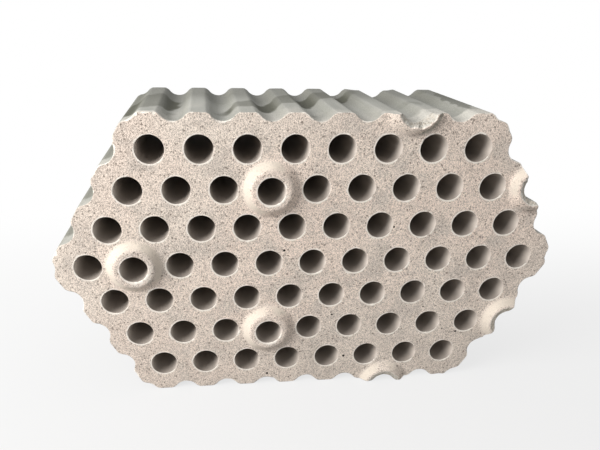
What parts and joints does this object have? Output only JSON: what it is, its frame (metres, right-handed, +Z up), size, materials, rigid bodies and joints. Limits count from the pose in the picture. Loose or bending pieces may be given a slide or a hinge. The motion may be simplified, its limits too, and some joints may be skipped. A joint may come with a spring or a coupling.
{
  "type": "checker brick",
  "caption": "Six-sided refractory checker brick with round flow holes, scalloped sides, conical bosses on one bed face and matching seats on the other.",
  "frame": {"origin": "centre of the bounding box's bottom, on the floor that the lowest ridges stand on", "axes": "+X along the long side, -Y out of the bossed bed face along the flow holes, +Z up as the brick stands"},
  "size_m": [0.3782, 0.126, 0.2206],
  "materials": {
    "fired_clay": "matte"
  },
  "bodies": {
    "root": {"checker_brick": "fired_clay"}
  },
  "joints": []
}
